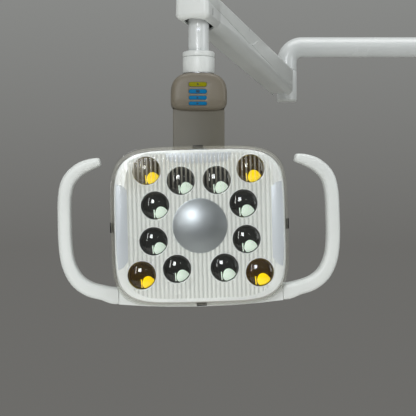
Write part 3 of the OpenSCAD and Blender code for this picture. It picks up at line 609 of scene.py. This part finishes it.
def painted_led_image(centre, side):
    """Low mound with a wavy edge; side is -1 to 1, the head's right to its left."""
    cx, cy, r = (0.36 + 0.10 * side) * LENS_R, -0.54 * LENS_R, 0.46 * LENS_R
    rings = []
    for share, lift in ((1.0, -0.6), (1.0, 0.0), (0.9, 0.35), (0.6, 0.8), (0.25, 1.0)):
        ring = []
        for k in range(40):
            t = 2 * math.pi * k / 40
            wobble = 1 + 0.06 * math.cos(3 * t + 0.6)
            x, y = inside_lens(cx + r * wobble * math.cos(t), cy + r * 0.95 * wobble * math.sin(t))
            mx, my = cx * 0.9, cy * 0.95
            ring.append((centre[0] + mx + (x - mx) * share, centre[1] + my + (y - my) * share,
                         PATCH_Z + lift))
        rings.append(ring)
    return rings_mesh(rings)


def sliver(centre, side):
    """Thin upright strip at the patch's left."""
    left = (0.34 + 0.12 * side - 0.52) * LENS_R
    width = 0.07 * LENS_R
    low, high = -0.88 * LENS_R, -0.30 * LENS_R
    edge = [(left + width * (1 if s else 0), low + (high - low) * k / 6) for s in (0, 1)
            for k in (range(7) if s else range(6, -1, -1))]
    edge = [inside_lens(x - 0.03 * LENS_R * ((y - low) / (high - low)), y) for x, y in edge]
    return prism([(centre[0] + x, centre[1] + y) for x, y in edge], PATCH_Z - 0.8, PATCH_Z + 0.6)


def painted_led_images(points):
    made = []
    for x, y in points:
        side = -x / 70
        made += [painted_led_image((x, y), side), sliver((x, y), side)]
    return joined(made)


place("led_patches", painted_led_images(mirrored(MAIN_LENSES)), HEAD, "head", "phosphor")
place("led_patches_amber", painted_led_images(mirrored(CORNER_LENSES)), HEAD, "head", "phosphor",
      material=amber_painted_glow)

# badge: a satin dome with a soft edge, no lettering
BADGE_R, BADGE_RISE = 32.6, 7.0
ball = (BADGE_R ** 2 + BADGE_RISE ** 2) / (2 * BADGE_RISE)
badge_line = [(AXIS, 12.1), (BADGE_R - 0.6, 12.1), (BADGE_R, 12.4), (BADGE_R, 12.7)]
for k in range(29):
    r = (BADGE_R - 0.35) * (1 - k / 28)
    badge_line.append((max(r, AXIS), 12.6 + BADGE_RISE - ball + math.sqrt(ball ** 2 - r ** 2)))
place("badge_dome", lathe(badge_line, 120), HEAD, "head", "badge_metal", ["centre_badge"])

# back shell: soft-shouldered pan with vents and a bearing hole
shell_out = [(2, -1.3), (2.3, -4), (4, -10), (7.5, -16), (14, -22.5), (22, -27.6), (32, -31.2),
             (42, -33), (62, -33)]
shell_in = [(4.8, 2), (5.2, -4), (7, -10), (10.4, -15), (17, -20.6), (25, -25), (35, -28.6), (62, -29.4)]
shell = boolean(pan(shell_out[::-1]), pan(shell_in[::-1]))
shell = boolean(shell, disc(0, 0, 13, -40, -20, 72))
slots = []
for side in (-1, 1):
    for k in range(5):
        y = -16 + 8 * k
        ends = [(side * 48 - 10.5, y + 1.5), (side * 48 + 10.5, y + 1.5)]
        slots.append(prism(arc(ends[1], 1.5, -90, 90) + arc(ends[0], 1.5, 90, 270), -40, -20))
shell = boolean(shell, joined(slots))
place("shell_back", shell, HEAD, "head", "white_plastic", ["back_shell"], crease=28)

# handles: a rounded bar swept along a smooth centre line, [x, y, half width, half depth]
HANDLE_LINE = [(117.5, 79.5, 4.8, 10.5), (130, 76.5, 6.7, 10.5), (143.8, 70, 7.8, 10.5),
               (156, 57, 8.2, 10.5), (161, 38, 8.2, 10.5), (162, 8, 8.2, 10.5), (161.5, -22, 8.2, 10.5),
               (158, -44, 8.4, 10.5), (148.8, -62, 8.8, 10.5), (134.5, -73, 9, 10.5),
               (118, -78.2, 9, 9.8), (106, -81.6, 10.2, 8.2), (99.1, -81.9, 10.2, 7.4)]
HANDLE_Z = -9


def blend(a, b, c, d, t):
    """Catmull-Rom blend of four values."""
    return (2 * b + (c - a) * t + (2 * a - 5 * b + 4 * c - d) * t * t
            + (3 * b - a - 3 * c + d) * t ** 3) / 2


def smooth_line(points, steps):
    """The line with each span split into steps on a smooth curve."""
    last = len(points) - 1
    out = []
    for i in range(last):
        four = [points[max(i - 1, 0)], points[i], points[i + 1], points[min(i + 2, last)]]
        for k in range(steps):
            out.append(tuple(blend(*values, k / steps) for values in zip(*four)))
    return out + [points[last]]


def handle(side):
    """Right handle for side 1, left for -1, with a blunt rounded tip."""
    sides, power = 40, 0.56
    line = smooth_line(HANDLE_LINE, 8)
    rings = []
    for i, (x, y, wide, deep) in enumerate(line):
        a, b = line[max(i - 1, 0)], line[min(i + 1, len(line) - 1)]
        way = Vector((b[0] - a[0], b[1] - a[1])).normalized()
        near = min(i / 3, 1)
        tip = 0.78 + 0.22 * math.sqrt(max(1 - (1 - near) ** 2, 0))
        ring = []
        for k in range(sides):
            t = 2 * math.pi * k / sides
            c, s = math.cos(t), math.sin(t)
            across = wide * tip * powered(c, power)
            depth = deep * tip * powered(s, power)
            ring.append((side * (x + across * way[1]), y - across * way[0], HANDLE_Z + depth))
        rings.append(ring)
    return rounded(rings_mesh(rings), 0.5, 2, 50)


place("handle_bar_left", handle(-1), HEAD, "head", "white_plastic", ["handle_left"], crease=40)
place("handle_bar_right", handle(1), HEAD, "head", "white_plastic", ["handle_right"], crease=40)
softened("handle_bracket", HEAD, "head", 0.5)

# ---- yoke and control pad ----

PAD_HALF, PAD_MID, PAD_TOP, PAD_FOOT = 35.0, 84.0, 114.0, 67.0


def pad_outline(inset, lift):
    """Bowed top, full sides and a curved lower lip, which lift raises."""
    dense = []
    for k in range(720):
        t = math.radians(k / 2)
        c, s = math.cos(t), math.sin(t)
        power, high = (2.9, PAD_TOP - PAD_MID) if s >= 0 else (4.4, PAD_MID - PAD_FOOT - lift)
        dense.append(((PAD_HALF - inset) * powered(c, 2 / power),
                      PAD_MID + (high - inset) * powered(s, 2 / power)))
    return evenly(dense, 120)


def pad_skin(stations):
    """Closed skin from [inset, y, lift of the lower lip]."""
    return rings_mesh([[(x, y, z) for x, z in pad_outline(i, l)] for i, y, l in stations])


# keys: node, height of the centre, height of the face
KEYS = [("key_mode", 98.0, 5.2), ("key_high", 89.3, 5.0), ("key_medium", 81.6, 4.4),
        ("key_low", 74.6, 4.0)]
# plain bars for each key's sign: [x, height as a share of the face's]
SIGNS = {"key_mode": [(-1.0, 0.4), (0.1, 0.4)],
         "key_high": [(-2.1, 0.6), (-1.0, 0.6), (0.1, 0.6), (1.2, 0.6)],
         "key_medium": [(-1.4, 0.6), (-0.3, 0.6)],
         "key_low": [(-1.3, 0.5), (-0.2, 0.5)]}
KEY_LONG = 22.0
KEY_X = -1.6
KEY_PROUD, KEY_DEEP, KEY_FLANGE = 0.6, 4.0, 0.7
PAD_FRONT_Y = -24.0


def key_shape(tall, grow):
    """Bar with half-round ends."""
    w, h = KEY_LONG / 2 + grow, tall / 2 + grow
    r = h - 0.01
    return (arc((w - r, h - r), r, 90, 0) + arc((w - r, r - h), r, 0, -90)
            + arc((r - w, r - h), r, -90, -180) + arc((r - w, h - r), r, 180, 90))


def facing_viewer(points, z, y_near, y_far):
    """Prism over a key's XZ outline, from one depth to another."""
    return rings_mesh([[(KEY_X + x, y, z + h) for x, h in points] for y in (y_far, y_near)])


front = pad_skin([(0, -0.15, 0), (0, -13, 0), (0.2, -16.5, 0.3), (0.9, -19.4, 1.2), (2.2, -21.6, 2.0),
                  (4.2, -23, 2.4), (7, -23.7, 2.2), (12, -24, 1.4)])
front = boolean(front, pad_skin([(3, 1, 0), (3, -15, 0.4), (4.2, -19, 1.6), (6, -20.6, 2),
                                 (9, -21, 1.6)]))
collar_well = disc(0, 0, 19.6, 104, 125, 72)
yoke_well = block((-32.1, -11.1, 50), (32.1, 11.1, 77))
front = boolean(front, collar_well)
front = boolean(front, yoke_well)
holes = [facing_viewer(key_shape(tall, 0.3), z, -30, -18) for _, z, tall in KEYS]
front = boolean(front, joined(holes))
place("pad_face", rounded(front, 0.25, 2, 50), YOKE, "yoke", "grey_plastic", ["pad_front"], crease=30)
rear = pad_skin([(0, 0.15, 0), (0, 11, 0), (0.4, 14.5, 0.5), (1.6, 17.2, 1.2), (3.8, 19.1, 1.8),
                 (8, 20, 1.6)])
rear = boolean(rear, pad_skin([(3, -1, 0), (3, 12, 0.4), (5, 15.6, 1.6), (9, 17, 1.6)]))
rear = boolean(boolean(rear, collar_well), yoke_well)
place("pad_back", rounded(rear, 0.25, 2, 50), YOKE, "yoke", "grey_plastic", ["pad_rear"], crease=30)

for node, z, tall in KEYS:
    near, far = PAD_FRONT_Y - KEY_PROUD, PAD_FRONT_Y + KEY_DEEP
    cap = rounded(facing_viewer(key_shape(tall, 0), z, near, far - KEY_FLANGE), 0.25, 3, 50)
    flange = facing_viewer(key_shape(tall, 0.8), z, far - KEY_FLANGE, far)
    place(node + "_cap", joined([cap, flange]), YOKE, body_of(node), slot_of[node], [node])
    marks = joined([rounded(block((KEY_X + x, near - 0.05, z - share * tall / 2),
                                  (KEY_X + x + 0.9, near + 0.3, z + share * tall / 2)), 0.05, 1)
                    for x, share in SIGNS[node]])
    place(node + "_mark", marks, YOKE, body_of(node), slot_of[node], material=mark_ink)

# the yoke covers take the darker grey, which is painted shade
softened("yoke_cover_front", YOKE, "yoke", 2.0, material=yoke_grey_painted_shade)
softened("yoke_cover_rear", YOKE, "yoke", 2.0, material=yoke_grey_painted_shade)
for node, at, body, width in (("tilt_caps", YOKE, "yoke", 1.0), ("upper_collar", POST, "knuckle", 0.9),
                              ("lower_collar", YOKE, "yoke", 0.8), ("lamp_post", POST, "knuckle", 0.4)):
    softened(node, at, body, width)

# ---- flexarm and elbow ----

softened("upper_cover", ARM, "flexarm", 0.5)
softened("lower_cover", ARM, "flexarm", 0.5)
softened("nose_cap", ARM, "flexarm", 0.6, angle=40)
# painted shade: black blocks fill the nose cap's two vent slots, standing for their dark insides
SLOT_SHADE_HALF = (1.65, 1.35, 4.45)
painted_slot_shade = joined([rounded(block([c - h for c, h in zip(middle, SLOT_SHADE_HALF)],
                               [c + h for c, h in zip(middle, SLOT_SHADE_HALF)]), 0.2)
                 for middle in ((FLEX_LEN + 8, -19.1, -5), (FLEX_LEN + 8, 19.1, -5))])
place("nose_slot_painted_shade", painted_slot_shade, ARM, "flexarm", "black_plastic")
for node, width in (("elbow_bracket", 0.7), ("hub_cap", 0.3)):
    softened(node, ELBOW, "elbow", width)

# ---- rigid arm: one bent tube ----

low, high = (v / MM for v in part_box("rigid_tube"))
TUBE_R = (high.y - low.y) / 2
TUBE_H = high.z - TUBE_R
TUBE_WALL = 4
BEND_R = 28.0
RIGID_LEN = -elbow_point.x / MM
tube_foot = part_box("thrust_washer")[1].z / MM + 0.4
tube_end = elbow_point.z / MM + 0.4


def tube_route():
    """Stations of the tube's centre line: point and direction."""
    route = [(Vector((0, 0, tube_foot)), Vector((0, 0, 1)))]
    for k in range(17):
        t = math.radians(90 * k / 16)
        route.append((Vector((-BEND_R + BEND_R * math.cos(t), 0,
                              TUBE_H - BEND_R + BEND_R * math.sin(t))),
                      Vector((-math.sin(t), 0, math.cos(t)))))
    for k in range(17):
        t = math.radians(90 + 90 * k / 16)
        route.append((Vector((-RIGID_LEN + BEND_R + BEND_R * math.cos(t), 0,
                              TUBE_H - BEND_R + BEND_R * math.sin(t))),
                      Vector((-math.sin(t), 0, math.cos(t)))))
    route.append((Vector((-RIGID_LEN, 0, tube_end)), Vector((0, 0, -1))))
    return route


def tube_rings(radius):
    """Circles of that radius across each station."""
    sides = 64
    rings = []
    for point, way in tube_route():
        across = way.cross(Vector((0, 1, 0)))
        rings.append([tuple(point + radius * (math.cos(t) * across
                                              + math.sin(t) * Vector((0, 1, 0))))
                      for t in (2 * math.pi * k / sides for k in range(sides))])
    return rings


tube = rings_mesh(tube_rings(TUBE_R) + tube_rings(TUBE_R - TUBE_WALL)[::-1], closed=True)
place("tube_bent", rounded(tube, 0.8, 3, 60), ROW, "rigid_arm", "white_enamel", ["rigid_tube"])

# ---- base ----

for node, width in (("base_flange", 1.2), ("base_post", 0.8), ("thrust_washer", 0.3)):
    softened(node, ROW, "base", width)

# brake screw: fluted hand knob
knob_low, knob_high = (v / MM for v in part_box("brake_screw"))
screw_h = (knob_low.z + knob_high.z) / 2
knob = []
for y, r in ((-10, 7.4), (-9.2, 8.6), (-8, 9), (-1.8, 9), (-0.6, 8.4), (0, 7.2)):
    knob.append([((r - 0.5 + 0.5 * math.cos(10 * t)) * math.cos(t), knob_high.y + y,
                  screw_h + (r - 0.5 + 0.5 * math.cos(10 * t)) * math.sin(t))
                 for t in (2 * math.pi * k / 80 for k in range(80))])
shank = rings_mesh([[(3 * math.cos(t), y, screw_h + 3 * math.sin(t))
                     for t in (2 * math.pi * k / 32 for k in range(32))]
                    for y in (knob_low.y, knob_high.y - 9.5)])
place("brake_knob", joined([rings_mesh(knob), shank]), ROW, "base", "black_plastic", ["brake_screw"])

# ---- stage, light and camera ----

CAMERA_FROM_HEAD = Vector((0.0100, -1.1284, 0.021))
camera_data = bpy.data.cameras.new("camera")
camera_data.sensor_width = 36
camera_data.angle = math.radians(24.95)
camera = bpy.data.objects.new("camera", camera_data)
bpy.context.scene.collection.objects.link(camera)
camera.location = head_point + CAMERA_FROM_HEAD
camera.rotation_euler = (math.radians(90), 0, 0)
bpy.context.scene.camera = camera

floor_mesh = block((-2600, -2400, -1120), (1600, 1700, -1100))
floor = bpy.data.objects.new("floor", floor_mesh)
bpy.context.scene.collection.objects.link(floor)
floor_mesh.materials.append(surface("floor", srgb(205, 204, 200), 0.6, tone=0.02, grain=60.0))


def area_light(name, location, target, size, power, colour=(1, 1, 1), size_y=None, mirrored_in=True):
    """Soft light; mirrored_in is whether glossy things show it."""
    data = bpy.data.lights.new(name, "AREA")
    data.energy = power
    data.color = colour
    data.size = size
    if size_y:
        data.shape = "RECTANGLE"
        data.size_y = size_y
    obj = bpy.data.objects.new(name, data)
    bpy.context.scene.collection.objects.link(obj)
    obj.location = location
    obj.visible_glossy = mirrored_in
    obj.rotation_euler = (Vector(target) - Vector(location)).to_track_quat("-Z", "Y").to_euler()
    return obj


def by_head(x, y, z):
    return head_point + Vector((x, y, z))


area_light("overhead", (-0.7, -1.0, 2.8), head_point, 3.0, 54, size_y=2.0)
area_light("window", by_head(-0.42, -2.2, 0.74), head_point, 0.50, 12.5, (0.94, 0.97, 1.0), 0.64)
area_light("spark", by_head(0.62, -2.0, 0.72), head_point, 0.12, 0.4)
area_light("front_soft", by_head(-0.35, -1.1, -0.5), by_head(0, 0, -0.08), 0.8, 6.5, (1, 0.99, 0.97),
           mirrored_in=False)
area_light("right_soft", by_head(1.9, -0.9, 0.7), by_head(0, 0, 0.2), 0.9, 10, (0.95, 0.98, 1.0), 1.6)
area_light("left_strip", by_head(-0.75, -1.35, 0.45), by_head(0, 0, 0.2), 0.08, 1.6, size_y=0.9)

# room: lighter towards the ceiling, darker in front of the lamp
world = bpy.data.worlds.new("studio")
bpy.context.scene.world = world
world.use_nodes = True
tree = world.node_tree
tree.nodes.clear()
way = add(tree, "TexCoord").outputs["Generated"]
height = add(tree, "SeparateXYZ", {"Vector": way}).outputs["Z"]
grade = spread(tree, height, 0.0, 1.0, -0.04, 0.22)
depth = add(tree, "SeparateXYZ", {"Vector": way}).outputs["Y"]
front = spread(tree, depth, 0.45, 1.0, -0.3, 0.3)
rear_grey = mix_colour(tree, grade, (0.152, 0.150, 0.142, 1), (0.250, 0.254, 0.246, 1))
grey = mix_colour(tree, front, (0.0, 0.0, 0.0, 1), rear_grey)
sky = add(tree, "Background", {"Color": grey, "Strength": 1.0})
world_out = tree.nodes.new("ShaderNodeOutputWorld")
tree.links.new(sky.outputs[0], world_out.inputs[0])

bpy.context.scene.view_settings.view_transform = "Standard"
bpy.context.scene.view_settings.look = "None"
